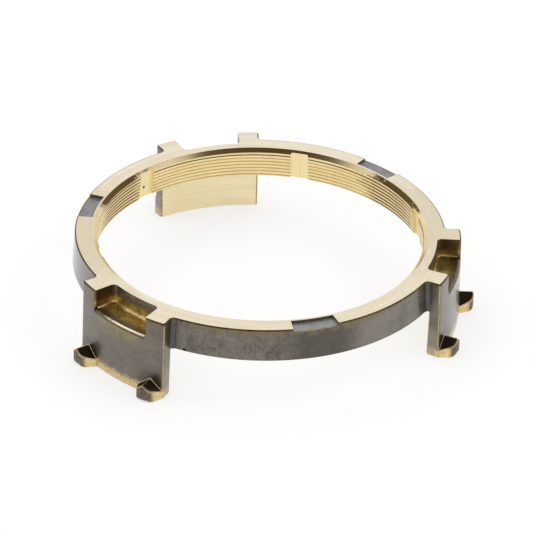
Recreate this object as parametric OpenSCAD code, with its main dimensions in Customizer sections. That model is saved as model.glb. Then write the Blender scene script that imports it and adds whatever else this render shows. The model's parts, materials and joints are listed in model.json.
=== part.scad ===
// Synchronizer ring of a gearbox, one forged brass piece.
// A plain ring with a grooved friction cone inside, and three drive lugs that hang from its rim.
// Each lug has a pocket for a thrust key at the top and two roofed blocking teeth at the foot.
// Millimetres. The ring's axis is Z, and Z = 0 is the ring's lower face, where the cone is widest.

/* [Ring] */
// Height of the plain ring, without the lugs
ring_h = 11.5; // [9:0.5:16]
// Wall of the ring at its lower face, from the cone to the forged outside
ring_wall = 7.6; // [6:0.2:12]
// Draft of the forged outside, narrower towards the top
wall_draft = 4.5; // [0:0.5:7]

/* [Friction cone] */
// Diameter of the cone at its large end, in the lower face
cone_large_d = 116.5; // [90:0.5:150]
// Half angle of the cone
cone_half_angle = 6.5; // [4:0.25:9]
// Height of the chamfer between the cone and the top face
lead_in_h = 1.3; // [0.5:0.1:2.5]
// Slope of that chamfer from the axis
lead_in_angle = 51; // [30:1:60]
// Distance from one groove of the cone to the next
groove_pitch = 1.42; // [0.9:0.02:2.5]
// Depth of a groove
groove_depth = 0.4; // [0.1:0.05:0.6]
// Width of a groove at its mouth
groove_w = 0.6; // [0.3:0.02:0.8]
// Plain land above the first groove
groove_land = 0.7; // [0.3:0.05:2]
// Width of an oil slot across the grooves
slot_w = 6.7; // [3:0.1:10]
// Depth of an oil slot below the cone
slot_depth = 0.75; // [0.5:0.05:1.2]
// Radius of an oil slot's upper corners
slot_corner = 0.8; // [0.2:0.1:1.4]
// Oil slots to each lug
slots_per_lug = 2; // [1:1:4]
// Turn of the oil slots from their even places between the lugs
slot_turn = -1.2; // [-10:0.2:10]

/* [Lugs] */
// Number of lugs around the ring
lug_count = 3; // [2:1:4]
// Angle that a lug spans
lug_span = 32.4; // [28:0.2:44]
// Reach of a lug below the ring's lower face
lug_drop = 17.7; // [12:0.1:28]
// Thickness of a lug at its foot
lug_t = 4.6; // [3.6:0.1:7]
// Step from the ring's outside to the turned inner face of a lug
lug_step = 0.6; // [0.2:0.1:1.5]
// Draft of a lug's outer face, thicker towards the foot
lug_draft = 1.6; // [0:0.1:3]
// Slanted root of a lug, taken under the ring from its outside
lug_root = 0.4; // [0.2:0.1:1]
// Radius of the hollow corner between a lug's flank and the ring
flank_fillet = 1.4; // [0.6:0.1:3]
// Radius of the inner edge of a lug's foot
foot_round = 0.9; // [0.3:0.1:1.5]

/* [Key pockets] */
// Depth of a pocket below the top face
pocket_depth = 7.2; // [4:0.2:10]
// Bite of a pocket into the ring's top face
pocket_bite = 3.1; // [1.5:0.1:4.2]
// Angle of each ear beside a pocket
ear_span = 6.4; // [3:0.1:9]
// Radius of a pocket's upright inner corners
pocket_corner = 1.8; // [0.8:0.1:3]
// Radius of the hollow foot of a pocket's walls
pocket_foot = 1.3; // [0.4:0.1:2]
// Radius of the lip where a pocket's floor meets the lug's outer face
lip_round = 1.1; // [0.4:0.1:2]

/* [Blocking teeth] */
// Reach of a tooth beyond the lug's foot
tooth_reach = 5; // [3:0.1:8]
// Width of a tooth at its tip
tooth_tip_w = 5; // [3:0.1:7]
// Slope of a tooth's flanks from its middle
tooth_flank = 24; // [0:1:30]
// Height of a tooth from the lug's foot to its ridge
tooth_h = 6.5; // [5:0.1:9]
// Slope of a tooth's roof
roof_angle = 38; // [25:1:45]
// Margin between a tooth's root and the lug's flank
tooth_margin = 0.4; // [0.3:0.1:2]

/* [Top recesses] */
// Depth of a recess that the turning tool left forged
recess_depth = 1; // [0.4:0.1:2]
// Angle that a recess spans
recess_span = 14.2; // [6:0.2:24]
// Rim left between a recess and the chamfer
recess_rim = 0.7; // [0.4:0.1:2]

/* [Hidden] */
$fn = 180;

// How far a cutter runs past the face that it opens
past = 1;
// How far a joined shape reaches into the ring
sunk = 1;
// Flats that make up a quarter round
arc_steps = 5;

// Ring and cone
foot_r = cone_large_d / 2 + ring_wall;
rim_r = foot_r - ring_h * tan(wall_draft);
cone_top = ring_h - lead_in_h;
mouth_r = cone_r(cone_top) + lead_in_h * tan(lead_in_angle);
groove_count = 1 + floor((cone_top - groove_land - groove_w) / groove_pitch);
slot_count = slots_per_lug * lug_count;
slot_top = ring_h - lead_in_h / 2;

// Lugs
lug_pitch = 360 / lug_count;
first_lug = 90;
lug_in_r = foot_r + lug_step;
lug_foot_r = lug_in_r + lug_t;
lug_top_r = lug_foot_r - (lug_drop + ring_h) * tan(lug_draft);

// Pockets
pocket_back_r = rim_r - pocket_bite;
pocket_span = lug_span - 2 * ear_span;
pocket_floor = ring_h - pocket_depth;
lip_r = lug_foot_r - (lug_drop + pocket_floor) * tan(lug_draft);

// Teeth: the outer flank of each one starts a margin inside the lug's own flank
tooth_root_r = lug_in_r + lug_t / 2;
tooth_tip_r = lug_foot_r + tooth_reach;
tooth_foot_half = tooth_tip_w / 2 + tooth_reach * tan(tooth_flank);
tooth_angle = lug_span / 2 - asin((tooth_foot_half + tooth_margin) / lug_foot_r);
// A tooth stays at full width this deep in the lug's rounded, drafted face
tooth_seat = 0.6;
tooth_seat_r = sqrt(pow(lug_foot_r, 2) - pow(tooth_foot_half, 2)) - tooth_seat;

function cone_r(z) = cone_large_d / 2 - z * tan(cone_half_angle);

// One V groove of the cone, from its upper lip to its lower lip
function groove_points(z) = [
    [cone_r(z + groove_w / 2), z + groove_w / 2],
    [cone_r(z) + groove_depth, z],
    [cone_r(z - groove_w / 2), z - groove_w / 2]
];

// Half section of the ring: forged outside, top face, chamfer and grooved cone
function ring_section() = concat(
    [[foot_r, 0], [rim_r, ring_h], [mouth_r, ring_h], [cone_r(cone_top), cone_top]],
    [for (i = [0:groove_count - 1])
        each groove_points(cone_top - groove_land - groove_w / 2 - i * groove_pitch)],
    [[cone_r(0), 0]]
);

// Hollow quarter round that touches both arms of a right-angled corner
function hollow_arc(r) = [
    for (i = [0:arc_steps])
        [r - r * cos(90 * i / arc_steps), r - r * sin(90 * i / arc_steps)]
];

// Half section of a lug: turned inner face, round and square edges of the foot, drafted outer face
// and slanted root
function lug_section() = concat(
    [for (p = hollow_arc(foot_round)) [lug_in_r + p.x, -lug_drop + p.y]],
    [
        [lug_foot_r, -lug_drop],
        [lug_top_r, ring_h],
        [rim_r - sunk, ring_h],
        [foot_r - lug_root - sunk, sunk],
        [lug_in_r, -lug_step - lug_root]
    ]
);

// Half section of a pocket: top, back wall with its hollow foot, and floor
function pocket_section() = concat(
    [[lug_foot_r + past, pocket_floor], [lug_foot_r + past, ring_h + past]],
    [[pocket_back_r, ring_h + past]],
    [for (p = hollow_arc(pocket_foot)) [pocket_back_r + p.x, pocket_floor + p.y]]
);

// Half section of what is cut from the lip of a pocket
function lip_section() = concat(
    [[lip_r + past, pocket_floor + past], [lip_r - lip_round, pocket_floor + past]],
    [for (i = [0:arc_steps])
        [lip_r - lip_round, pocket_floor - lip_round]
        + lip_round * [sin(90 * i / arc_steps), cos(90 * i / arc_steps)]],
    [[lip_r + past, pocket_floor - lip_round]]
);

// Turns its children to each lug in turn
module at_lugs() {
    for (i = [0:lug_count - 1])
        rotate(first_lug + i * lug_pitch)
            children();
}

module lug() {
    rotate(-lug_span / 2)
        rotate_extrude(angle = lug_span)
            polygon(lug_section());
}

// Outline that fills a right-angled corner at the origin with a hollow quarter round
module hollow_corner(r) {
    polygon(concat(hollow_arc(r), [[r, -past], [-past, -past], [-past, r]]));
}

// Blend between a lug's flank and the ring's forged outside
module flank_blend() {
    linear_extrude(ring_h)
        hollow_corner(flank_fillet);
}

// Hollow fillings of a pocket's two side walls: along the floor and up the inner corner
module pocket_fillings() {
    for (side = [0, 1])
        mirror([0, side, 0])
            rotate(pocket_span / 2)
                translate([pocket_back_r, 0, pocket_floor]) {
                    rotate([90, 0, 90])
                        linear_extrude(lug_foot_r - pocket_back_r)
                            mirror([1, 0])
                                hollow_corner(pocket_foot);
                    linear_extrude(pocket_depth + past)
                        mirror([0, 1])
                            hollow_corner(pocket_corner);
                }
}

// A key pocket, open at the top and through the lug's outer face, with its hollow corners
module key_pocket() {
    difference() {
        rotate(-pocket_span / 2)
            rotate_extrude(angle = pocket_span)
                polygon(pocket_section());
        pocket_fillings();
    }
}

// The cut that rounds the lip of a pocket
module pocket_lip() {
    rotate(-pocket_span / 2)
        rotate_extrude(angle = pocket_span)
            polygon(lip_section());
}

// A blocking tooth: a tapered plan under a gabled roof, its ridge pointing out from the axis
module blocking_tooth() {
    tip_half = tooth_tip_w / 2;
    seat_half = tip_half + (tooth_tip_r - tooth_seat_r) * tan(tooth_flank);
    eaves_h = tooth_h - seat_half * tan(roof_angle);
    translate([0, 0, -lug_drop])
        intersection() {
            linear_extrude(tooth_h)
                polygon([
                    [tooth_root_r, -tip_half],
                    [tooth_seat_r, -seat_half],
                    [tooth_tip_r, -tip_half],
                    [tooth_tip_r, tip_half],
                    [tooth_seat_r, seat_half],
                    [tooth_root_r, tip_half]
                ]);
            rotate([90, 0, 90])
                linear_extrude(tooth_tip_r + past)
                    polygon([
                        [-seat_half, 0],
                        [seat_half, 0],
                        [seat_half, eaves_h],
                        [0, tooth_h],
                        [-seat_half, eaves_h]
                    ]);
        }
}

// A shallow recess of the top face, open to the outside
module top_recess() {
    inner_r = mouth_r + recess_rim;
    rotate(-recess_span / 2)
        rotate_extrude(angle = recess_span)
            translate([inner_r, ring_h - recess_depth])
                square([rim_r - inner_r + past, recess_depth + past]);
}

// An oil slot: the cone deepened by an even amount, in a strip with round upper corners
module oil_slot() {
    intersection() {
        translate([0, 0, -past])
            cylinder(
                h = ring_h + past,
                r1 = cone_r(-past) + slot_depth,
                r2 = cone_r(ring_h) + slot_depth
            );
        rotate([90, 0, 90])
            linear_extrude(foot_r)
                union() {
                    translate([-slot_w / 2, -past])
                        square([slot_w, slot_top - slot_corner + past]);
                    translate([-slot_w / 2 + slot_corner, -past])
                        square([slot_w - 2 * slot_corner, slot_top + past]);
                    for (side = [-1, 1])
                        translate([side * (slot_w / 2 - slot_corner), slot_top - slot_corner])
                            circle(slot_corner);
                }
    }
}

module synchronizer_ring() {
    color("#b8995a")
        difference() {
            union() {
                rotate_extrude()
                    polygon(ring_section());
                at_lugs() {
                    lug();
                    for (side = [-1, 1])
                        rotate(side * tooth_angle)
                            blocking_tooth();
                    for (side = [0, 1])
                        mirror([0, side, 0])
                            rotate(lug_span / 2)
                                translate([rim_r, 0])
                                    flank_blend();
                }
            }
            at_lugs() {
                key_pocket();
                pocket_lip();
            }
            rotate(lug_pitch / 2)
                at_lugs()
                    top_recess();
            for (i = [0:slot_count - 1])
                rotate(first_lug + slot_turn + (i + 0.5) * 360 / slot_count)
                    oil_slot();
        }
}

synchronizer_ring();
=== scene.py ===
import json
import math

import bpy
from mathutils import Matrix, Vector


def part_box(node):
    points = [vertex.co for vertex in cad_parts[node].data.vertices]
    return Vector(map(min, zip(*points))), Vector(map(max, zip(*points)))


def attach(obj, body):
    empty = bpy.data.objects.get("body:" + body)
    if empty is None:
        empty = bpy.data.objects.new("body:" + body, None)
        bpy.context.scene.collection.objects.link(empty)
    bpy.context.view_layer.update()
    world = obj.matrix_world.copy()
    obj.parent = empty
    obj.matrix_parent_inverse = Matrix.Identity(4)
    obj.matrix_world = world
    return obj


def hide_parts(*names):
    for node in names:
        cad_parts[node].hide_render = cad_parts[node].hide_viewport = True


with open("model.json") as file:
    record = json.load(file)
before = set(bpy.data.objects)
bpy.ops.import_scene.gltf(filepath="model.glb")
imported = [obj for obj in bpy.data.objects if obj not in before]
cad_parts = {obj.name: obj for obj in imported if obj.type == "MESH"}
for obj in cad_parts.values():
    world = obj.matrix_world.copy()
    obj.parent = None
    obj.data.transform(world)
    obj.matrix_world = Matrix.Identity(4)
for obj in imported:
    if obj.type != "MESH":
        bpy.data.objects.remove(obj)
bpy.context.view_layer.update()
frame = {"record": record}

# The ring blank: a hot forging in brass, drafted on the outside so that it leaves the die.
# The lathe has faced its top and bored it to a friction cone that narrows towards the top.
# Outside, the dark skin of the forging is left as it came.
mm = 0.001
cone = next(m for m in frame["record"]["mounts"] if m["name"] == "friction_cone")
lug_foot_z, top_z = (corner.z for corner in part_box("synchronizer_ring"))
cone_foot_r = cone["dims"]["r_mm"] * mm
cone_top_z = cone["dims"]["length_mm"] * mm
cone_slope = math.tan(math.radians(6.5))
mouth_slope = math.tan(math.radians(51))
wall_slope = math.tan(math.radians(4.5))
ring_thick = 7.6 * mm
ring_foot_r = cone_foot_r + ring_thick
rim_r = ring_foot_r - top_z * wall_slope
cone_top_r = cone_foot_r - cone_top_z * cone_slope
mouth_r = cone_top_r + (top_z - cone_top_z) * mouth_slope
edge_round = 0.5 * mm
foot_edge = 0.3 * mm
mouth_edge = 0.15 * mm
cone_top_edge = 0.1 * mm
cone_foot_edge = 0.2 * mm
ring_steps = 240
weld = 0.002 * mm


def start_plate(name, corners):
    """A flat plate with one corner at each of these points."""
    bpy.ops.object.select_all(action="DESELECT")
    bpy.ops.mesh.primitive_circle_add(vertices=len(corners), fill_type="NGON")
    plate = bpy.context.object
    plate.name = name
    for vertex, corner in zip(plate.data.vertices, corners):
        vertex.co = corner
    return plate


def close_up():
    """Welds the mesh in edit mode and turns its faces outwards."""
    bpy.ops.mesh.select_all(action="SELECT")
    bpy.ops.mesh.remove_doubles(threshold=weld)
    bpy.ops.mesh.normals_make_consistent(inside=False)
    bpy.ops.object.mode_set(mode="OBJECT")


def spin_ring(name, section):
    """A section of (radius, height) corners turned once round the ring's axis."""
    ring = start_plate(name, [(radius, 0, height) for radius, height in section])
    bpy.ops.object.mode_set(mode="EDIT")
    bpy.ops.mesh.select_all(action="SELECT")
    bpy.ops.mesh.delete(type="ONLY_FACE")
    bpy.ops.object.mode_set(mode="OBJECT")
    turn = ring.modifiers.new("turn", "SCREW")
    turn.angle = math.tau
    turn.steps = turn.render_steps = ring_steps
    turn.use_merge_vertices = True
    bpy.ops.object.modifier_apply(modifier=turn.name)
    bpy.ops.object.mode_set(mode="EDIT")
    close_up()
    return ring


def round_corner(before, corner, after, radius, steps=3):
    """Points of an arc that rounds the corner between its two neighbours."""
    corner = Vector(corner)
    arms = [(Vector(end) - corner).normalized() for end in (before, after)]
    half = arms[0].angle(arms[1]) / 2
    centre = corner + (arms[0] + arms[1]).normalized() * radius / math.sin(half)
    first, last = (corner + arm * radius / math.tan(half) - centre for arm in arms)
    return [centre + first.slerp(last, i / steps) * radius for i in range(steps + 1)]


def round_section(corners, radii):
    """A section with each corner rounded to its radius."""
    section = []
    for i, (corner, radius) in enumerate(zip(corners, radii)):
        section += round_corner(corners[i - 1], corner, corners[(i + 1) % len(corners)], radius)
    return section


def set_inputs(tree, node, inputs):
    """Sets a node's inputs to values, or links them where another node's output is given."""
    for key, value in inputs.items():
        if isinstance(value, bpy.types.NodeSocket):
            tree.links.new(value, node.inputs[key])
        else:
            node.inputs[key].default_value = value


def add_node(tree, kind, inputs, **settings):
    node = tree.nodes.new("ShaderNode" + kind)
    for name, value in settings.items():
        setattr(node, name, value)
    set_inputs(tree, node, inputs)
    return node


def sums(tree, operation, *values):
    return add_node(tree, "Math", dict(enumerate(values)), operation=operation).outputs[0]


def fade(tree, value, low, high, start=0.0, end=1.0):
    """A smooth change from start to end as the value goes from low to high."""
    limits = {"Value": value, "From Min": low, "From Max": high, "To Min": start, "To Max": end}
    return add_node(tree, "MapRange", limits, interpolation_type="SMOOTHSTEP").outputs["Result"]


def tint(tree, share, under, over, blend="MIX"):
    """The colour over, laid on the colour under by this share."""
    node = add_node(tree, "Mix", {0: share, 6: under, 7: over}, data_type="RGBA", blend_type=blend)
    return node.outputs[2]


def noise(tree, vector, scale, detail=3.0, roughness=0.55):
    inputs = {"Vector": vector, "Scale": scale, "Detail": detail, "Roughness": roughness}
    return add_node(tree, "TexNoise", inputs).outputs["Fac"]


def start_group(name, inputs, outputs):
    """A node group with these sockets: its tree, its inputs and its outputs."""
    tree = bpy.data.node_groups.new(name, "ShaderNodeTree")
    for label, value in inputs.items():
        kind = "NodeSocketColor" if isinstance(value, tuple) else "NodeSocketFloat"
        tree.interface.new_socket(label, in_out="INPUT", socket_type=kind).default_value = value
    for label, kind in outputs.items():
        tree.interface.new_socket(label, in_out="OUTPUT", socket_type="NodeSocket" + kind)
    return tree, tree.nodes.new("NodeGroupInput").outputs, tree.nodes.new("NodeGroupOutput")


def use_group(tree, group, inputs):
    node = tree.nodes.new("ShaderNodeGroup")
    node.node_tree = group
    set_inputs(tree, node, inputs)
    return node.outputs


def start_material(name):
    material = bpy.data.materials.new(name)
    material.use_nodes = True
    return material, material.node_tree, material.node_tree.nodes["Principled BSDF"]


def finish(piece, material, wanted=lambda centre, normal: True):
    """Gives the wanted faces of a piece this finish."""
    slots = piece.data.materials
    if material.name not in slots:
        slots.append(material)
    for face in piece.data.polygons:
        if wanted(face.center, face.normal):
            face.material_index = slots.find(material.name)


def bump(tree, height, depth):
    """Normals of a relief of this depth in metres."""
    return add_node(tree, "Bump", {"Height": height, "Distance": depth}).outputs["Normal"]


# Where a point lies on the ring, in millimetres and degrees, with the way round as a smooth vector.
ring_place, _, out = start_group("place on the ring", {}, {
    "Radius": "Float", "Height": "Float", "Off Lug": "Float", "Way Round": "Vector",
})
point = add_node(ring_place, "TexCoord", {}).outputs["Object"]
point = add_node(ring_place, "VectorMath", {0: point, "Scale": 1 / mm}, operation="SCALE").outputs[0]
flat = add_node(ring_place, "VectorMath", {0: point, 1: (1, 1, 0)}, operation="MULTIPLY").outputs[0]
axes = add_node(ring_place, "SeparateXYZ", {"Vector": point}).outputs
turn = sums(ring_place, "DEGREES", sums(ring_place, "ARCTAN2", axes["Y"], axes["X"]))
set_inputs(ring_place, out, {
    "Radius": add_node(ring_place, "VectorMath", {0: flat}, operation="LENGTH").outputs["Value"],
    "Height": axes["Z"],
    "Off Lug": sums(ring_place, "PINGPONG", sums(ring_place, "ADD", turn, 270.0), 60.0),
    "Way Round": add_node(ring_place, "VectorMath", {0: flat}, operation="NORMALIZE").outputs[0],
})

# Marks that a lathe tool leaves: long thin arcs that change quickly across the cut.
lathe_marks, given, out = start_group(
    "lathe marks", {"Across": 0.0, "Marks per mm": 4.0, "Arc": 3.0}, {"Mark": "Float"}
)
around_vector = use_group(lathe_marks, ring_place, {})["Way Round"]
around_vector = add_node(
    lathe_marks, "VectorMath", {0: around_vector, "Scale": given["Arc"]}, operation="SCALE"
).outputs[0]
across = add_node(lathe_marks, "CombineXYZ", {
    "Z": sums(lathe_marks, "MULTIPLY", given["Across"], given["Marks per mm"]),
}).outputs[0]
across = add_node(lathe_marks, "VectorMath", {0: around_vector, 1: across}, operation="ADD").outputs[0]
set_inputs(lathe_marks, out, {"Mark": noise(lathe_marks, across, 1.0, 2.0)})

# Patches with a fine grain in them, for stains, scale and bare spots.
mottle, given, out = start_group(
    "mottle", {"Patches per m": 200.0, "Grains per m": 1500.0, "Grain": 0.4}, {"Mask": "Float"}
)
point = add_node(mottle, "TexCoord", {}).outputs["Object"]
patches = noise(mottle, point, given["Patches per m"], 4.0)
grains = noise(mottle, point, given["Grains per m"], 2.0)
mixed = add_node(mottle, "Mix", {0: given["Grain"], 2: patches, 3: grains}).outputs[0]
set_inputs(mottle, out, {"Mask": fade(mottle, mixed, 0.3, 0.7)})

# Ragged wear that starts at an edge and gives out within its reach.
edge_wear, given, out = start_group(
    "edge wear", {"Distance": 0.0, "Reach": 1.0, "Grains per m": 900.0}, {"Mask": "Float"}
)
point = add_node(edge_wear, "TexCoord", {}).outputs["Object"]
ragged = noise(edge_wear, point, given["Grains per m"], 4.0)
limit = sums(edge_wear, "MULTIPLY", given["Reach"], fade(edge_wear, ragged, 0.25, 0.75, 0.1, 1.9))
near = sums(edge_wear, "DIVIDE", given["Distance"], limit)
set_inputs(edge_wear, out, {"Mask": fade(edge_wear, near, 0.4, 1.2, 1.0, 0.0)})

# Dark oxide skin of a brass forging, in three shades, with its grain.
forged_skin, given, out = start_group(
    "forged skin",
    {"Dark": (0.07, 0.06, 0.045, 1), "Light": (0.15, 0.14, 0.12, 1), "Stain": (0.12, 0.09, 0.05, 1)},
    {"Color": "Color", "Roughness": "Float", "Height": "Float"},
)
scale, stains, grain = (
    use_group(forged_skin, mottle, {"Patches per m": patches, "Grains per m": grains, "Grain": share})
    for patches, grains, share in ((200.0, 1000.0, 0.5), (90.0, 700.0, 0.3), (900.0, 2600.0, 0.5))
)
stained = sums(forged_skin, "MULTIPLY", stains["Mask"], 0.5)
colour = tint(forged_skin, scale["Mask"], given["Dark"], given["Light"])
set_inputs(forged_skin, out, {
    "Color": tint(forged_skin, stained, colour, given["Stain"]),
    "Roughness": fade(forged_skin, scale["Mask"], 0.0, 1.0, 0.34, 0.46),
    "Height": grain["Mask"],
})


def turned_brass(name, deep, bright, marks, across, smooth=0.24, rough=0.38, relief=0.008):
    """Brass off the lathe, with its marks running round the ring."""
    material, tree, shader = start_material(name)
    place = use_group(tree, ring_place, {})
    across = place[across]
    mark = use_group(tree, lathe_marks, {"Across": across, "Marks per mm": marks})["Mark"]
    band = use_group(tree, lathe_marks, {"Across": across, "Marks per mm": 0.5, "Arc": 2.0})["Mark"]
    patch = use_group(tree, mottle, {"Patches per m": 120.0, "Grains per m": 900.0, "Grain": 0.3})["Mask"]
    share = sums(tree, "ADD", sums(tree, "MULTIPLY", mark, 0.5), sums(tree, "MULTIPLY", band, 0.6))
    share = sums(tree, "SUBTRACT", share, sums(tree, "MULTIPLY", patch, 0.12))
    shader.inputs["Metallic"].default_value = 1.0
    set_inputs(tree, shader, {
        "Base Color": tint(tree, fade(tree, share, 0.2, 0.8), deep, bright),
        "Roughness": fade(tree, mark, 0.3, 0.7, smooth, rough),
        "Normal": bump(tree, mark, relief * mm),
    })
    return material


faced_brass = turned_brass(
    "faced_brass", (0.75, 0.645, 0.455, 1), (0.88, 0.80, 0.64, 1), 3.0, "Radius", 0.16, 0.28
)
bored_brass = turned_brass("bored_brass", (0.85, 0.66, 0.31, 1), (0.95, 0.81, 0.47, 1), 4.0, "Height")
chamfer_brass = turned_brass(
    "chamfer_brass", (0.72, 0.58, 0.31, 1), (0.86, 0.73, 0.46, 1), 4.0, "Height", 0.18, 0.26
)

# A blot round a place on the rim, with its reach in millimetres and a ragged border.
blot, given, out = start_group("blot", {"Turn": 0.0, "Reach": 12.0}, {"Mask": "Float"})
way = use_group(blot, ring_place, {})["Way Round"]
centre = {"Vector": (1, 0, 0), "Angle": given["Turn"]}
centre = add_node(blot, "VectorRotate", centre, rotation_type="Z_AXIS").outputs[0]
apart = add_node(blot, "VectorMath", {0: way, 1: centre}, operation="DISTANCE").outputs["Value"]
ragged = use_group(blot, mottle, {"Patches per m": 120.0, "Grains per m": 700.0, "Grain": 0.4})["Mask"]
limit = sums(blot, "MULTIPLY", given["Reach"], fade(blot, ragged, 0.0, 1.0, 0.7, 1.3))
apart = sums(blot, "DIVIDE", sums(blot, "MULTIPLY", apart, ring_foot_r / mm), limit)
set_inputs(blot, out, {"Mask": fade(blot, apart, 0.3, 1.0, 1.0, 0.0)})


def overlay_colour(material, mask, colour):
    """Lays a colour over a finished material where the mask says."""
    tree = material.node_tree
    shader = tree.nodes["Principled BSDF"]
    clean = shader.inputs["Base Color"].links[0].from_socket
    set_inputs(tree, shader, {"Base Color": tint(tree, mask, clean, colour)})


# Darker stretches at two sides of the ring: a painted dark reflection on the top face and the chamfer,
# and painted shade on the cone.
for material, angle, reach, share, colour in (
    (faced_brass, 168, 46.0, 0.6, (0.67, 0.575, 0.41, 1)),
    (faced_brass, -10, 46.0, 0.6, (0.67, 0.585, 0.43, 1)),
    (bored_brass, 134, 24.0, 0.35, (0.52, 0.37, 0.17, 1)),
    (bored_brass, 18, 26.0, 0.35, (0.52, 0.37, 0.17, 1)),
    (chamfer_brass, 135, 23.0, 1.35, (0.105, 0.068, 0.018, 1)),
    (chamfer_brass, 13, 23.0, 1.35, (0.105, 0.068, 0.018, 1)),
):
    tree = material.node_tree
    dull = use_group(tree, blot, {"Turn": math.radians(angle), "Reach": reach})["Mask"]
    overlay_colour(material, sums(tree, "MULTIPLY", dull, share), colour)


# Painted shade for the corners where the lugs meet the wall.
corner_shade = (0.03, 0.026, 0.02, 1)


def skin_material(name, dark, light, stain, bare_reach):
    """Forged skin, rubbed brown below the faced top edge, with a darker and a lighter patch at the front
    right, and painted shade beside the lugs.
    """
    material, tree, shader = start_material(name)
    place = use_group(tree, ring_place, {})
    skin = use_group(tree, forged_skin, {"Dark": dark, "Light": light, "Stain": stain})
    below = sums(tree, "SUBTRACT", top_z / mm, place["Height"])
    worn = {"Distance": below, "Reach": bare_reach, "Grains per m": 400.0}
    worn = use_group(tree, edge_wear, worn)["Mask"]
    darkened = use_group(tree, blot, {"Turn": math.radians(-88), "Reach": 20.0})["Mask"]
    rubbed_and_lit = use_group(tree, blot, {"Turn": math.radians(-70), "Reach": 13.0})["Mask"]
    colour = tint(tree, sums(tree, "MULTIPLY", darkened, 0.75), skin["Color"], (0.045, 0.034, 0.021, 1))
    colour = tint(tree, sums(tree, "MULTIPLY", rubbed_and_lit, 0.6), colour, light)
    colour = tint(tree, sums(tree, "MULTIPLY", worn, 0.75), colour, (0.185, 0.125, 0.045, 1))
    # Painted shade on the wall beside each lug, where the wall mirrors the lug's dark flank.
    beside_lug = fade(tree, place["Off Lug"], 16.2, 19.5, 0.75, 0.0)
    shader.inputs["Metallic"].default_value = 0.75
    shader.inputs["Coat Weight"].default_value = 1.0
    shader.inputs["Coat Roughness"].default_value = 0.15
    set_inputs(tree, shader, {
        "Base Color": tint(tree, beside_lug, colour, corner_shade),
        "Roughness": skin["Roughness"],
        "Normal": bump(tree, skin["Height"], 0.03 * mm),
    })
    return material


def patchy_metal(name, dark, light, metallic, dull=0.45, smooth=0.32):
    """Metal in two shades, the lighter one rubbed smoother."""
    material, tree, shader = start_material(name)
    patch = {"Patches per m": 300.0, "Grains per m": 1500.0, "Grain": 0.5}
    patch = use_group(tree, mottle, patch)["Mask"]
    shader.inputs["Metallic"].default_value = metallic
    set_inputs(tree, shader, {
        "Base Color": tint(tree, patch, dark, light),
        "Roughness": fade(tree, patch, 0.0, 1.0, dull, smooth),
        "Normal": bump(tree, patch, 0.02 * mm),
    })
    return material


edge_skin = patchy_metal("edge_skin", (0.04, 0.027, 0.011, 1), (0.18, 0.127, 0.055, 1), 0.8)
wall_skin = skin_material(
    "wall_skin", (0.05, 0.04, 0.028, 1), (0.23, 0.205, 0.17, 1), (0.12, 0.092, 0.058, 1), 2.0
)

ring = spin_ring("synchronizer_ring_body", round_section(
    [(ring_foot_r, 0), (rim_r, top_z), (mouth_r, top_z), (cone_top_r, cone_top_z), (cone_foot_r, 0)],
    [foot_edge, edge_round, mouth_edge, cone_top_edge, cone_foot_edge],
))
finish(ring, wall_skin)
finish(ring, edge_skin, lambda centre, normal: (
    centre.xy.length > rim_r - edge_round and 0.2 < normal.z < 0.99
))
finish(ring, faced_brass, lambda centre, normal: abs(normal.z) > 0.99)
finish(ring, bored_brass, lambda centre, normal: centre.xy.dot(normal.xy) < 0 and abs(normal.z) < 0.99)
finish(ring, chamfer_brass, lambda centre, normal: centre.xy.length < mouth_r and 0.3 < normal.z < 0.9)


# Six oil slots, milled up the cone at an even depth, with round upper corners.
# The cutter leaves them paler than the bored cone, with upright marks.
slot_w = 6.7 * mm
slot_half = math.asin(slot_w / 2 / cone_foot_r)
slot_depth = 0.75 * mm
slot_corner = 0.8 * mm
slot_edge = 0.15 * mm
slot_steps = 4
slot_top_z = (cone_top_z + top_z) / 2
lug_turns = [math.radians(angle) for angle in (90, 210, 330)]
past = 2 * mm
slot_turns = [turn + math.radians(angle) for turn in lug_turns for angle in (-31.2, 28.8)]
wide_sliver = 0.02 * mm
sliver = 0.01 * mm
fine_sliver = 0.005 * mm


def polar(radius, angle, height):
    return Vector((radius * math.cos(angle), radius * math.sin(angle), height))


def bridge(name, outlines):
    """A closed shape that runs from each outline to the next."""
    loops = [start_plate(name, outline) for outline in outlines]
    bpy.ops.object.select_all(action="DESELECT")
    for loop in loops:
        loop.select_set(True)
    bpy.context.view_layer.objects.active = loops[0]
    bpy.ops.object.join()
    bpy.ops.object.mode_set(mode="EDIT")
    bpy.ops.mesh.select_all(action="SELECT")
    bpy.ops.mesh.delete(type="ONLY_FACE")
    bpy.ops.mesh.select_all(action="SELECT")
    bpy.ops.mesh.bridge_edge_loops()
    bpy.ops.mesh.select_all(action="SELECT")
    bpy.ops.mesh.fill_holes(sides=0)
    close_up()
    return loops[0]


def sector(name, section, half_angle, steps):
    """A section of (radius, height) corners, carried round evenly to both sides of the X axis."""
    turns = [half_angle * (1 - 2 * i / steps) for i in range(steps + 1)]
    return bridge(name, [[polar(radius, turn, height) for radius, height in section] for turn in turns])


def combine(body, tool, operation):
    """Joins or cuts the body with a tool, which leaves its finish on the faces that it makes."""
    cut = body.modifiers.new(operation.lower(), "BOOLEAN")
    cut.operation = operation
    cut.solver = "EXACT"
    cut.material_mode = "TRANSFER"
    cut.object = tool
    bpy.context.view_layer.objects.active = body
    bpy.ops.object.modifier_apply(modifier=cut.name)
    bpy.data.objects.remove(tool)


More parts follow.
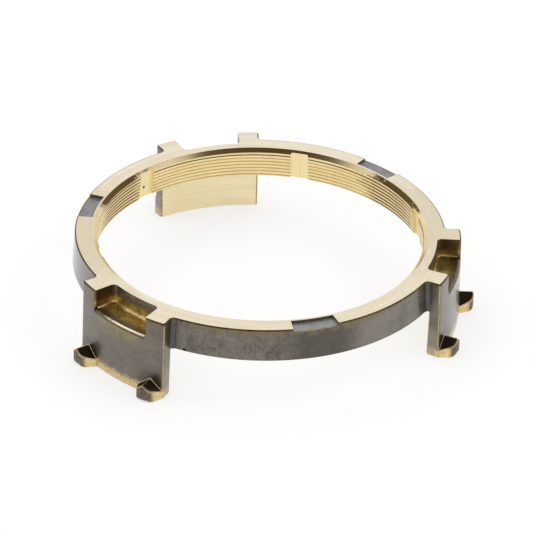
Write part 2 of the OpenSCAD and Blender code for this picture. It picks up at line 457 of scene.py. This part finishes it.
def around(piece, turns):
    """Copies a piece, each copy with its own mesh, to each of these angles, as one object."""
    copies = []
    for turn in turns:
        copy = piece.copy()
        copy.data = piece.data.copy()
        copy.data.transform(Matrix.Rotation(turn, 4, "Z"))
        bpy.context.collection.objects.link(copy)
        copies.append(copy)
    bpy.data.objects.remove(piece)
    bpy.ops.object.select_all(action="DESELECT")
    for copy in copies:
        copy.select_set(True)
    bpy.context.view_layer.objects.active = copies[0]
    bpy.ops.object.join()
    return copies[0]


def round_edges(piece, width, segments, wanted, sharpness=30, material=-1):
    """Bevels the piece's sharp edges between wanted points, in their own finish or this one."""
    bpy.ops.object.select_all(action="DESELECT")
    bpy.context.view_layer.objects.active = piece
    bpy.ops.object.mode_set(mode="EDIT")
    bpy.ops.mesh.select_mode(type="EDGE")
    bpy.ops.mesh.select_all(action="DESELECT")
    bpy.ops.mesh.edges_select_sharp(sharpness=math.radians(sharpness))
    bpy.ops.object.mode_set(mode="OBJECT")
    mesh = piece.data
    ends = [[mesh.vertices[i].co for i in edge.vertices] for edge in mesh.edges]
    chosen = [edge.select and wanted(*pair) for edge, pair in zip(mesh.edges, ends)]
    mesh.polygons.foreach_set("select", [False] * len(mesh.polygons))
    mesh.vertices.foreach_set("select", [False] * len(mesh.vertices))
    mesh.edges.foreach_set("select", chosen)
    bpy.ops.object.mode_set(mode="EDIT")
    bpy.ops.mesh.bevel(
        offset=width, segments=segments, affect="EDGES", clamp_overlap=False, material=material
    )
    close_up()


def weld_slivers(piece, width):
    """Closes the tiny gaps and edges that the cuts leave."""
    bpy.ops.object.select_all(action="DESELECT")
    bpy.context.view_layer.objects.active = piece
    bpy.ops.object.mode_set(mode="EDIT")
    bpy.ops.mesh.select_all(action="SELECT")
    bpy.ops.mesh.remove_doubles(threshold=width)
    bpy.ops.mesh.dissolve_degenerate(threshold=width)
    bpy.ops.object.mode_set(mode="OBJECT")


def cone_r(height):
    return cone_foot_r - height * cone_slope


milled_brass, tree, shader = start_material("milled_brass")
place = use_group(tree, ring_place, {})
upright = {0: place["Way Round"], "Scale": 60.0}
upright = add_node(tree, "VectorMath", upright, operation="SCALE").outputs[0]
mill_marks = noise(tree, upright, 4.0, 3.0)
shader.inputs["Metallic"].default_value = 1.0
set_inputs(tree, shader, {
    "Base Color": tint(
        tree, fade(tree, mill_marks, 0.3, 0.7), (0.88, 0.73, 0.38, 1), (0.98, 0.86, 0.53, 1)
    ),
    "Roughness": fade(tree, mill_marks, 0.3, 0.7, 0.5, 0.36),
    "Normal": bump(tree, mill_marks, 0.015 * mm),
})

slot = sector("slot", [
    (cone_top_r - past, -past),
    (cone_r(-past) + slot_depth, -past),
    (cone_r(slot_top_z) + slot_depth, slot_top_z),
    (cone_top_r - past, slot_top_z),
], slot_half, slot_steps)
round_edges(slot, slot_corner, 3, lambda a, b: (
    min(a.z, b.z) > slot_top_z - weld and (a - b).xy.length > past
))
finish(slot, milled_brass)
combine(ring, around(slot, slot_turns), "DIFFERENCE")
weld_slivers(ring, wide_sliver)
round_edges(ring, slot_edge, 2, lambda a, b: (
    abs(a.z - b.z) > cone_top_z / 2 and max(a.xy.length, b.xy.length) < cone_foot_r + slot_edge
))


# The fine thread that wipes oil off the cone, cut on the lathe from the lower face to the chamfer.
# It is one right-hand helix, brown with dirt and oil; it is darker in its top turn, and dirt with painted
# shade darkens it at the left and the right of the ring.
thread_pitch = 1.42 * mm
thread_depth = 0.34 * mm
thread_mouth = 0.54 * mm
thread_lead = 0.3 * mm
thread_start_z = -1.03 * mm
thread_turns = 9
thread_steps = 120
thread_half = thread_mouth / 2 * (thread_depth + thread_lead) / thread_depth
thread_brass = turned_brass(
    "thread_brass", (0.80, 0.60, 0.27, 1), (0.94, 0.76, 0.40, 1), 4.0, "Height", 0.35, 0.5
)
tree = thread_brass.node_tree
shader = tree.nodes["Principled BSDF"]
shader.inputs["Metallic"].default_value = 0.1
shader.inputs["Specular IOR Level"].default_value = 0.0
below_mouth = sums(tree, "SUBTRACT", cone_top_z / mm, use_group(tree, ring_place, {})["Height"])
overlay_colour(thread_brass, fade(tree, below_mouth, 1.4, 2.0, 0.85, 0.0), (0.16, 0.085, 0.028, 1))
# Dirt and painted shade darken the thread at the left and the right of the ring.
for angle in (134, 18):
    dirt_and_shade = use_group(tree, blot, {"Turn": math.radians(angle), "Reach": 23.0})["Mask"]
    overlay_colour(thread_brass, dirt_and_shade, (0.075, 0.034, 0.007, 1))
thread = start_plate("thread", [
    (cone_foot_r - thread_lead, 0, thread_start_z - thread_half),
    (cone_foot_r + thread_depth, 0, thread_start_z),
    (cone_foot_r - thread_lead, 0, thread_start_z + thread_half),
])
coil = thread.modifiers.new("coil", "SCREW")
coil.screw_offset = thread_pitch
coil.iterations = thread_turns
coil.steps = coil.render_steps = thread_steps
bpy.ops.object.modifier_apply(modifier=coil.name)
bpy.ops.object.mode_set(mode="EDIT")
bpy.ops.mesh.select_all(action="SELECT")
bpy.ops.mesh.fill_holes(sides=0)
close_up()
taper = thread.modifiers.new("taper", "SIMPLE_DEFORM")
taper.deform_method = "TAPER"
taper.deform_axis = "Z"
taper.factor = -cone_slope * thread.dimensions.z / cone_foot_r
bpy.ops.object.modifier_apply(modifier=taper.name)
finish(thread, thread_brass)
combine(ring, thread, "DIFFERENCE")
weld_slivers(ring, sliver)


# Three drive lugs hang from the rim, part of the same forging and in the same skin.
# Their inner faces were turned with the cone, and their feet trimmed bright.
lug_half = math.radians(16.2)
lug_step = 0.6 * mm
lug_root = 0.4 * mm
lug_thick = 4.6 * mm
lug_in_r = ring_foot_r + lug_step
lug_foot_r = lug_in_r + lug_thick
lug_slope = math.tan(math.radians(1.6))
lug_top_r = lug_foot_r - (top_z - lug_foot_z) * lug_slope
joined = 1 * mm
lug_steps = 18
flank_fillet = 1.4 * mm
foot_round = 0.9 * mm
lug_edge = 0.9 * mm
trim_height = 2.8 * mm
bend_steps = 5
quarter_bend = [math.pi / 2 * i / bend_steps for i in range(bend_steps + 1)]

lug_skin, tree, shader = start_material("lug_skin")
place = use_group(tree, ring_place, {})
skin = use_group(tree, forged_skin, {
    "Dark": (0.105, 0.084, 0.062, 1), "Light": (0.205, 0.176, 0.14, 1), "Stain": (0.145, 0.112, 0.078, 1),
})
speckle = use_group(tree, mottle, {"Patches per m": 350.0, "Grains per m": 1600.0, "Grain": 0.5})["Mask"]
smeared = fade(tree, place["Height"], -3.0, 3.5, 0.0, 0.9)
smeared = sums(tree, "MULTIPLY", smeared, fade(tree, place["Off Lug"], 6.0, 10.0, 1.0, 0.0))
smeared = sums(tree, "MULTIPLY", smeared, fade(tree, speckle, 0.1, 0.7, 0.25, 1.0))
colour = tint(tree, smeared, skin["Color"], (0.30, 0.215, 0.08, 1))
below = sums(tree, "SUBTRACT", top_z / mm, place["Height"])
browned = use_group(tree, edge_wear, {"Distance": below, "Reach": 2.0, "Grains per m": 400.0})["Mask"]
colour = tint(tree, sums(tree, "MULTIPLY", browned, 0.7), colour, (0.17, 0.12, 0.05, 1))
# Painted shade on the lug's flanks next to the ring wall, where they mirror the dark wall.
darkened = fade(tree, place["Radius"], 66.0, 69.3, 0.8, 0.0)
darkened = sums(tree, "MULTIPLY", darkened, fade(tree, place["Height"], -2.5, 1.0))
colour = tint(tree, darkened, colour, corner_shade)
over_foot = sums(tree, "SUBTRACT", place["Height"], lug_foot_z / mm)
# Painted reflection: the lug's flanks are lighter low down, where they mirror the white room.
rubbed_and_lit = fade(tree, over_foot, 3.0, 14.0, 0.6, 0.0)
rubbed_and_lit = sums(tree, "MULTIPLY", rubbed_and_lit, fade(tree, place["Off Lug"], 15.5, 16.0))
colour = tint(tree, rubbed_and_lit, colour, (0.46, 0.39, 0.31, 1))
# Painted shade round the foot of each tooth on the lug's face.
from_tooth = add_node(tree, "CombineXYZ", {
    "X": sums(tree, "MULTIPLY", sums(tree, "SUBTRACT", place["Off Lug"], 12.0), 1.24),
    "Y": sums(tree, "SUBTRACT", over_foot, 4.0),
}).outputs[0]
from_tooth = add_node(tree, "VectorMath", {0: from_tooth}, operation="LENGTH").outputs["Value"]
colour = tint(tree, fade(tree, from_tooth, 3.5, 6.8, 0.7, 0.0), colour, (0.05, 0.04, 0.03, 1))
ragged_height = sums(tree, "ADD", over_foot, fade(tree, speckle, 0.0, 1.0, -0.8, 0.8))
trimmed = fade(tree, ragged_height, trim_height / mm - 1.4, trim_height / mm + 1.6, 1.0, 0.0)
trimmed = sums(tree, "MULTIPLY", trimmed, fade(tree, place["Radius"], 69.0, 70.3, 0.5, 1.0))
shears = {0: place["Way Round"], "Scale": 90.0}
shears = add_node(tree, "VectorMath", shears, operation="SCALE").outputs[0]
shears = noise(tree, shears, 3.0, 3.0)
trim_colour = tint(tree, fade(tree, shears, 0.3, 0.7), (0.60, 0.45, 0.19, 1), (0.75, 0.59, 0.29, 1))
shader.inputs["Coat Weight"].default_value = 0.8
shader.inputs["Coat Roughness"].default_value = 0.2
set_inputs(tree, shader, {
    "Base Color": tint(tree, trimmed, colour, trim_colour),
    "Metallic": fade(tree, trimmed, 0.0, 1.0, 0.75, 0.95),
    "Roughness": skin["Roughness"],
    "Normal": bump(tree, skin["Height"], 0.025 * mm),
})

worn_edge = patchy_metal("worn_edge", (0.24, 0.165, 0.065, 1), (0.60, 0.47, 0.25, 1), 0.95)
lug_brass = turned_brass(
    "lug_brass", (0.82, 0.69, 0.40, 1), (0.92, 0.81, 0.55, 1), 1.0, "Height", 0.26, 0.34, 0.003
)

lug = sector("lug", [
    (lug_in_r, lug_foot_z),
    (lug_foot_r, lug_foot_z),
    (lug_top_r, top_z),
    (rim_r - joined, top_z),
    (ring_foot_r - lug_root - joined, joined),
    (lug_in_r, -lug_step - lug_root),
], lug_half, lug_steps)
finish(lug, lug_skin)
finish(lug, lug_brass, lambda centre, normal: centre.xy.length < lug_in_r + weld and abs(normal.z) < 0.5)
finish(lug, lug_skin, lambda centre, normal: abs(centre.xy.normalized().dot(normal.xy)) < 0.3)
finish(lug, faced_brass, lambda centre, normal: normal.z > 0.9)
lug.data.materials.append(worn_edge)
round_edges(lug, foot_round, 4, lambda a, b: (
    max(a.z, b.z) < lug_foot_z + weld and max(a.xy.length, b.xy.length) < lug_in_r + weld
))
round_edges(lug, lug_edge, 6, lambda a, b: (
    abs(a.z - b.z) > lug_foot_r / 3 and min(a.xy.length, b.xy.length) > lug_top_r - weld
))
finish(lug, worn_edge, lambda centre, normal: 0.5 < centre.xy.normalized().dot(normal.xy) < 0.85)
round_edges(lug, edge_round, 3, lambda a, b: (
    min(a.z, b.z) > top_z - weld and max(a.xy.length, b.xy.length) > rim_r + weld
    or min(a.xy.length, b.xy.length) > lug_in_r - weld
), 35, lug.data.materials.find(worn_edge.name))
finish(lug, edge_skin, lambda centre, normal: centre.z > top_z - edge_round and normal.z < 0.99)


def corner_outline(height):
    """Fills the corner between the wall and a lug's flank with a hollow quarter round."""
    wall_r = ring_foot_r - height * wall_slope
    hollow = [(flank_fillet * (1 - math.cos(a)), flank_fillet * (1 - math.sin(a))) for a in quarter_bend]
    back = [(flank_fillet, -past), (-past, -past), (-past, flank_fillet)]
    return [
        Matrix.Rotation(lug_half, 3, "Z") @ Vector((wall_r + out, aside, height))
        for out, aside in [*hollow, *back]
    ]


corner = bridge("corner", [corner_outline(0), corner_outline(top_z)])
finish(corner, wall_skin)
finish(corner, faced_brass, lambda centre, normal: normal.z > 0.9)
corner.data.materials.append(edge_skin)
round_edges(corner, edge_round, 2, lambda a, b: (
    min(a.z, b.z) > top_z - weld and (a - b).length < past / 2
), 30, corner.data.materials.find(edge_skin.name))
left_corner = corner.copy()
left_corner.data = corner.data.copy()
left_corner.data.transform(Matrix.Scale(-1, 4, (0, 1, 0)))
left_corner.data.flip_normals()
bpy.context.collection.objects.link(left_corner)
combine(lug, corner, "UNION")
combine(lug, left_corner, "UNION")
weld_slivers(lug, fine_sliver)


# Two blocking teeth at the foot of each lug, forged with it: tapered in plan, under a gabled roof.
# The roofs are almost black, the sides are trimmed to gold and the ends are grey.
tooth_reach = 5 * mm
tooth_tip_half = 2.5 * mm
tooth_h = 6.5 * mm
tooth_flank = math.tan(math.radians(24))
roof_slope = math.tan(math.radians(38))
tooth_margin = 0.4 * mm
tooth_seat = 0.6 * mm
tooth_tip_r = lug_foot_r + tooth_reach
tooth_foot_half = tooth_tip_half + tooth_reach * tooth_flank
tooth_turn = lug_half - math.asin((tooth_foot_half + tooth_margin) / lug_foot_r)
tooth_seat_r = math.sqrt(lug_foot_r ** 2 - tooth_foot_half ** 2) - tooth_seat
tooth_seat_half = tooth_tip_half + (tooth_tip_r - tooth_seat_r) * tooth_flank
tooth_edge = 0.25 * mm
tooth_nose = 1.4 * mm
nose_end = 1.2 * tooth_nose
tooth_rim = 0.5 * mm
root_sink = 0.08 * mm
root_rise = 0.22 * mm
root_spread = 0.3 * mm
root_overlap = 0.12 * mm
end_dark = (0.09, 0.068, 0.045, 1)
end_light = (0.23, 0.178, 0.122, 1)


def tooth_outline(reach, half):
    """A tooth's upright outline at this distance from the axis, under its gabled roof."""
    eaves = tooth_h - half * roof_slope
    return [
        (reach, y, lug_foot_z + height)
        for y, height in ((-half, 0), (half, 0), (half, eaves), (0, tooth_h), (-half, eaves))
    ]


def root_outline(lift, growth):
    """A tooth's outline grown by this much, at this height above the lug's drafted face."""
    half = tooth_foot_half + growth
    ridge = tooth_h + growth / math.cos(math.atan(roof_slope))
    eaves = ridge - half * roof_slope
    outline = []
    for y, height in ((-half, 0), (half, 0), (half, eaves), (0, ridge), (-half, eaves)):
        radius = lug_foot_r - height * lug_slope + lift
        outline.append((math.sqrt(radius ** 2 - y ** 2), y, lug_foot_z + height))
    return outline


roof_skin = patchy_metal("roof_skin", (0.03, 0.02, 0.011, 1), (0.075, 0.054, 0.032, 1), 0.8)
shader = roof_skin.node_tree.nodes["Principled BSDF"]
shader.inputs["Specular Tint"].default_value = (0.35, 0.28, 0.2, 1)
# Bright brass on the teeth's worn edges; on their roots it is a painted highlight.
bright_edge = patchy_metal("bright_edge", (0.46, 0.36, 0.20, 1), (0.70, 0.58, 0.37, 1), 0.95)
tooth_end_skin = patchy_metal("tooth_end_skin", end_dark, end_light, 0.9)
tooth_rim_brass = patchy_metal("tooth_rim_brass", (0.28, 0.215, 0.13, 1), (0.52, 0.43, 0.29, 1), 0.95)

tooth_side_brass, tree, shader = start_material("tooth_side_brass")
patch = use_group(tree, mottle, {"Patches per m": 300.0, "Grains per m": 1500.0, "Grain": 0.5})["Mask"]
gold = tint(tree, patch, (0.58, 0.43, 0.17, 1), (0.90, 0.74, 0.40, 1))
grey = tint(tree, patch, end_dark, end_light)
to_tip = sums(tree, "SUBTRACT", tooth_tip_r / mm, use_group(tree, ring_place, {})["Radius"])
shader.inputs["Metallic"].default_value = 0.9
set_inputs(tree, shader, {
    "Base Color": tint(tree, fade(tree, to_tip, 0.6, 2.2, 1.0, 0.0), gold, grey),
    "Roughness": fade(tree, patch, 0.0, 1.0, 0.45, 0.32),
    "Normal": bump(tree, patch, 0.02 * mm),
})

tooth = bridge("tooth", [
    tooth_outline(lug_in_r + lug_step, tooth_tip_half),
    tooth_outline(tooth_seat_r, tooth_seat_half),
    tooth_outline(tooth_tip_r, tooth_tip_half),
])
finish(tooth, tooth_side_brass)
finish(tooth, roof_skin, lambda centre, normal: normal.z > 0.3)
finish(tooth, tooth_end_skin, lambda centre, normal: normal.x > 0.9)
tooth.data.materials.append(bright_edge)
tooth.data.materials.append(tooth_rim_brass)
round_edges(tooth, tooth_nose, 4, lambda a, b: (
    min(a.x, b.x) > tooth_tip_r - weld and min(a.z, b.z) < lug_foot_z + weld
))
round_edges(tooth, tooth_rim, 3, lambda a, b: (
    min(a.x, b.x) > tooth_tip_r - nose_end and max(a.z, b.z) > lug_foot_z + nose_end
), 35, tooth.data.materials.find(tooth_rim_brass.name))
round_edges(tooth, tooth_edge, 2, lambda a, b: (
    max(a.x, b.x) > tooth_seat_r + weld and max(a.z, b.z) > lug_foot_z + weld
), 35, tooth.data.materials.find(bright_edge.name))
combine(lug, around(tooth, (-tooth_turn, tooth_turn)), "UNION")
weld_slivers(lug, fine_sliver)

# A thin fillet round each tooth's root, in bright brass as a painted highlight.
root = bridge("root", [root_outline(-root_sink, root_spread), root_outline(root_rise, -root_overlap)])
finish(root, bright_edge)
combine(lug, around(root, (-tooth_turn, tooth_turn)), "UNION")
weld_slivers(lug, fine_sliver)
combine(ring, around(lug, lug_turns), "UNION")
weld_slivers(ring, fine_sliver)


# A pocket for a thrust key in the top of each lug, between two ears that the lathe faced with the rim.
# It was forged, so its corners are hollow, and the key has rubbed it to brown and gold, with painted gold
# highlights along its floor fillets, on the ears' rounded edges and on one lug's lip.
pocket_half = math.radians(9.8)
pocket_depth = 7.2 * mm
pocket_bite = 3.1 * mm
pocket_floor = top_z - pocket_depth
pocket_back_r = rim_r - pocket_bite
pocket_corner = 1.8 * mm
pocket_foot = 1.3 * mm
ear_round = 1.4 * mm
lip_round = 1.1 * mm
lip_r = lug_foot_r - (pocket_floor - lug_foot_z) * lug_slope
flare_gap = 0.1 * mm
flare_r = lip_r + flare_gap
flare_half = pocket_half + past / flare_r
back_steps = 12


def pocket_outline(height):
    """The pocket in plan: its back on the ring's curve and its sides flared past the ears."""
    side = [(pocket_half, flare_r), (flare_half, flare_r), (flare_half, flare_r + past)]
    back = [pocket_half * (1 - 2 * i / back_steps) for i in range(back_steps + 1)]
    return [
        *(polar(radius, -angle, height) for angle, radius in side),
        *(polar(radius, angle, height) for angle, radius in reversed(side)),
        *(polar(pocket_back_r, angle, height) for angle in back),
    ]


def bends(angle, radius):
    """Test for upright edges at this place, to either side."""
    return lambda a, b: (
        abs(a.z - b.z) > past
        and abs(abs(math.atan2(a.y, a.x)) - angle) * radius < weld * 10
        and abs(a.xy.length - radius) < weld * 10
    )


pocket_brass, tree, shader = start_material("pocket_brass")
place = use_group(tree, ring_place, {})
rubbed_and_lit = use_group(tree, mottle, {"Patches per m": 260.0, "Grains per m": 1700.0, "Grain": 0.55})["Mask"]
grain = use_group(tree, mottle, {"Patches per m": 900.0, "Grains per m": 2600.0, "Grain": 0.5})["Mask"]
low = tint(tree, rubbed_and_lit, (0.20, 0.115, 0.02, 1), (0.85, 0.62, 0.22, 1))
high = tint(tree, rubbed_and_lit, (0.10, 0.075, 0.05, 1), (0.32, 0.265, 0.195, 1))
colour = tint(tree, fade(tree, place["Height"], 6.5, 9.0), low, high)
browned = fade(tree, place["Off Lug"], 8.6, 9.5, 0.0, 0.85)
browned = sums(tree, "MULTIPLY", browned, fade(tree, place["Height"], 5.5, 8.0, 0.3, 1.0))
colour = tint(tree, browned, colour, (0.085, 0.045, 0.008, 1))
greasy = fade(tree, place["Radius"], 65.5, 69.0, 0.0, 0.8)
greasy = sums(tree, "MULTIPLY", greasy, fade(tree, place["Height"], 5.0, 6.5, 1.0, 0.0))
colour = tint(tree, greasy, colour, (0.06, 0.048, 0.032, 1))
# Painted gold highlight on the rounded edges of the ears.
colour = tint(tree, fade(tree, place["Off Lug"], 9.7, 10.3, 0.0, 0.8), colour, (0.30, 0.21, 0.08, 1))
shader.inputs["Metallic"].default_value = 0.9
set_inputs(tree, shader, {
    "Base Color": colour,
    "Roughness": fade(tree, rubbed_and_lit, 0.0, 1.0, 0.42, 0.3),
    "Normal": bump(tree, grain, 0.03 * mm),
})
greasy = use_group(tree, blot, {"Turn": math.radians(-30), "Reach": 22.0})["Mask"]
overlay_colour(pocket_brass, sums(tree, "MULTIPLY", greasy, 0.4), (0.08, 0.048, 0.015, 1))

# Painted gold highlight along the fillets at the pocket's floor.
gold_highlight_line = patchy_metal("gold_highlight_line", (0.74, 0.55, 0.22, 1), (0.98, 0.86, 0.56, 1), 0.95, 0.3, 0.18)

# Painted highlight on the lip of one lug's pocket: bright brass round that lug, dark elsewhere.
lip_highlight, tree, shader = start_material("lip_highlight")
rubbed_and_lit = use_group(tree, blot, {"Turn": math.radians(-145), "Reach": 13.0})["Mask"]
shader.inputs["Metallic"].default_value = 0.95
set_inputs(tree, shader, {
    "Base Color": tint(tree, rubbed_and_lit, (0.17, 0.13, 0.08, 1), (0.98, 0.92, 0.74, 1)),
    "Roughness": fade(tree, rubbed_and_lit, 0.0, 1.0, 0.4, 0.2),
})

pocket = bridge("pocket", [pocket_outline(pocket_floor), pocket_outline(top_z + past)])
round_edges(pocket, pocket_corner, bend_steps, bends(pocket_half, pocket_back_r))
round_edges(pocket, ear_round, bend_steps, bends(pocket_half, flare_r))
round_edges(pocket, pocket_foot, bend_steps, lambda a, b: (
    max(a.z, b.z) < pocket_floor + weld and min(a.xy.length, b.xy.length) < flare_r + weld
))
finish(pocket, pocket_brass)
finish(pocket, gold_highlight_line, lambda centre, normal: 0.6 < abs(normal.z) < 0.8)
combine(ring, around(pocket, lug_turns), "DIFFERENCE")
weld_slivers(ring, fine_sliver)

lip = sector("lip", [
    *(
        (lip_r - lip_round * (1 - math.sin(a)), pocket_floor - lip_round * (1 - math.cos(a)))
        for a in quarter_bend
    ),
    (lip_r + past, pocket_floor - lip_round),
    (lip_r + past, pocket_floor + past),
    (lip_r - lip_round, pocket_floor + past),
], pocket_half, back_steps)
finish(lip, pocket_brass)
finish(lip, lip_highlight, lambda centre, normal: 0.6 < abs(normal.z) < 0.95)
combine(ring, around(lip, lug_turns), "DIFFERENCE")


# A shallow recess midway between the lugs, where the forging lay too low for the facing tool to reach.
# Its floor is forged skin, blue grey and smoother than the wall.
recess_half = math.radians(7.1)
recess_depth = 1 * mm
recess_margin = 0.7 * mm
recess_steps = 8
recess_in_r = mouth_r + recess_margin
recess_turns = [turn + math.pi for turn in lug_turns]

recess_skin, tree, shader = start_material("recess_skin")
skin = use_group(tree, forged_skin, {
    "Dark": (0.15, 0.15, 0.152, 1), "Light": (0.36, 0.358, 0.365, 1), "Stain": (0.25, 0.24, 0.225, 1),
})
place = use_group(tree, ring_place, {})
rubbed_and_lit = use_group(tree, blot, {"Turn": math.radians(-90), "Reach": 22.0})["Mask"]
colour = tint(tree, sums(tree, "MULTIPLY", rubbed_and_lit, 0.25), skin["Color"], (0.5, 0.5, 0.52, 1))
worn = use_group(tree, edge_wear, {
    "Distance": sums(tree, "SUBTRACT", rim_r / mm, place["Radius"]), "Reach": 0.6, "Grains per m": 400.0,
})["Mask"]
shader.inputs["Metallic"].default_value = 0.7
set_inputs(tree, shader, {
    "Base Color": tint(tree, worn, colour, (0.26, 0.17, 0.06, 1)),
    "Roughness": skin["Roughness"],
    "Normal": bump(tree, skin["Height"], 0.02 * mm),
})

recess = sector("recess", [
    (recess_in_r, top_z - recess_depth),
    (rim_r + past, top_z - recess_depth),
    (rim_r + past, top_z + past),
    (recess_in_r, top_z + past),
], recess_half, recess_steps)
finish(recess, wall_skin)
finish(recess, recess_skin, lambda centre, normal: abs(normal.z) > 0.9)
combine(ring, around(recess, recess_turns), "DIFFERENCE")
weld_slivers(ring, sliver)


# Two flaws in the forging: a pore that the cutter laid open in one oil slot, and a nick low on the wall.
# Both are nearly black inside.
pore_size = 0.55 * mm
pore_place = polar(58.5 * mm, math.radians(119.4), 4.26 * mm)
nick_size = 0.7 * mm
nick_place = polar(65.9 * mm, math.radians(-129.4), 0.6 * mm)
pit_black = patchy_metal("pit_black", (0.02, 0.012, 0.005, 1), (0.05, 0.03, 0.014, 1), 0.0, 0.8, 0.6)
for size, place in ((pore_size, pore_place), (nick_size, nick_place)):
    bpy.ops.object.select_all(action="DESELECT")
    bpy.ops.mesh.primitive_ico_sphere_add(subdivisions=2, radius=size)
    flaw = bpy.context.object
    flaw.data.transform(Matrix.Translation(place))
    finish(flaw, pit_black)
    combine(ring, flaw, "DIFFERENCE")


# The finished ring, with all that was forged and cut in one body of brass.
# Its curved faces shade smoothly up to the machined edges.
smooth_angle = math.radians(28)

bpy.ops.object.select_all(action="DESELECT")
ring.select_set(True)
bpy.context.view_layer.objects.active = ring
bpy.ops.object.shade_smooth_by_angle(angle=smooth_angle)
even_out = ring.modifiers.new("even_out", "WEIGHTED_NORMAL")
even_out.keep_sharp = True
bpy.ops.object.modifier_apply(modifier=even_out.name)
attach(ring, "root")
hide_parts("synchronizer_ring")


# The studio: a white floor that the ring stands on, in a pale room with a dim ceiling.
# Two soft boxes hang high to its left and right, and the camera has a long lens.
floor_size = 6.0
floor_shade = (0.4, 0.4, 0.4, 1)
floor_glow = 0.64
ceiling_shade = (0.09, 0.056, 0.021, 1)
soft_boxes = (((0.74, -0.01, 0.93), 0.48), ((-0.77, 0.035, 0.91), 0.42))
lamp_power = 2.7
camera_lens = 196.8
camera_film = 36
camera_turn = math.radians(-17.8)
camera_height = math.radians(31.69)
camera_roll = math.radians(1.663)
camera_place = Vector((2.42, -874.69, 524.97)) * mm + Vector((0, 0, top_z))
facing = Matrix.Rotation(camera_turn, 3, "Z")

bpy.ops.object.select_all(action="DESELECT")
bpy.ops.mesh.primitive_plane_add(size=floor_size, location=(0, 0, lug_foot_z))
floor = bpy.context.object
floor.name = "floor"
floor_paint, tree, shader = start_material("floor_paint")
seen = add_node(tree, "LightPath", {}).outputs
bright = sums(tree, "MAXIMUM", seen["Is Camera Ray"], seen["Is Glossy Ray"])
bright = sums(tree, "MAXIMUM", bright, seen["Is Transmission Ray"])
set_inputs(tree, shader, {
    "Base Color": floor_shade, "Roughness": 0.9, "Specular IOR Level": 0.0,
    "Emission Color": (1, 1, 1, 1), "Emission Strength": sums(tree, "MULTIPLY", bright, floor_glow),
})
floor.data.materials.append(floor_paint)

# The metal mirrors pale walls, a white sheet behind the ring, and the dim ceiling over the walls.
world = bpy.data.worlds.new("studio")
bpy.context.scene.world = world
world.use_nodes = True
tree = world.node_tree
background = tree.nodes["Background"]
seen = add_node(tree, "LightPath", {}).outputs
sight = add_node(tree, "TexCoord", {}).outputs["Generated"]
up = add_node(tree, "SeparateXYZ", {"Vector": sight}).outputs["Z"]
across, behind = (
    add_node(tree, "VectorMath", {0: sight, 1: facing @ way}, operation="DOT_PRODUCT").outputs["Value"]
    for way in (Vector((1, 0, 0)), Vector((0, 1, 0)))
)
wall_top = fade(tree, sums(tree, "ABSOLUTE", across), 0.45, 0.66, 0.66, 0.55)
over_wall = fade(tree, sums(tree, "SUBTRACT", up, wall_top), -0.04, 0.04)
dim = sums(tree, "MULTIPLY", over_wall, fade(tree, behind, 0.1, 0.25, 1.0, 0.0))
pale = sums(tree, "MAXIMUM", sums(tree, "SUBTRACT", 1.0, dim), seen["Is Camera Ray"])
room = tint(tree, pale, ceiling_shade, (1, 1, 1, 1))
set_inputs(tree, background, {
    "Color": tint(tree, seen["Is Diffuse Ray"], room, (0.9, 0.9, 0.9, 1)), "Strength": 1.0,
})

for place, size in soft_boxes:
    lamp = bpy.data.objects.new("lamp", bpy.data.lights.new("lamp", "AREA"))
    bpy.context.collection.objects.link(lamp)
    lamp.data.size = size
    lamp.data.energy = lamp_power * size ** 2
    lamp.location = facing @ Vector(place)
    lamp.rotation_euler = (-lamp.location).to_track_quat("-Z", "Y").to_euler()

camera = bpy.data.objects.new("camera", bpy.data.cameras.new("camera"))
bpy.context.collection.objects.link(camera)
camera.data.lens = camera_lens
camera.data.sensor_width = camera_film
camera.matrix_world = (
    Matrix.Rotation(camera_turn, 4, "Z")
    @ Matrix.Translation(camera_place)
    @ Matrix.Rotation(math.pi / 2 - camera_height, 4, "X")
    @ Matrix.Rotation(camera_roll, 4, "Z")
)
bpy.context.scene.camera = camera
bpy.context.scene.view_settings.view_transform = "Standard"
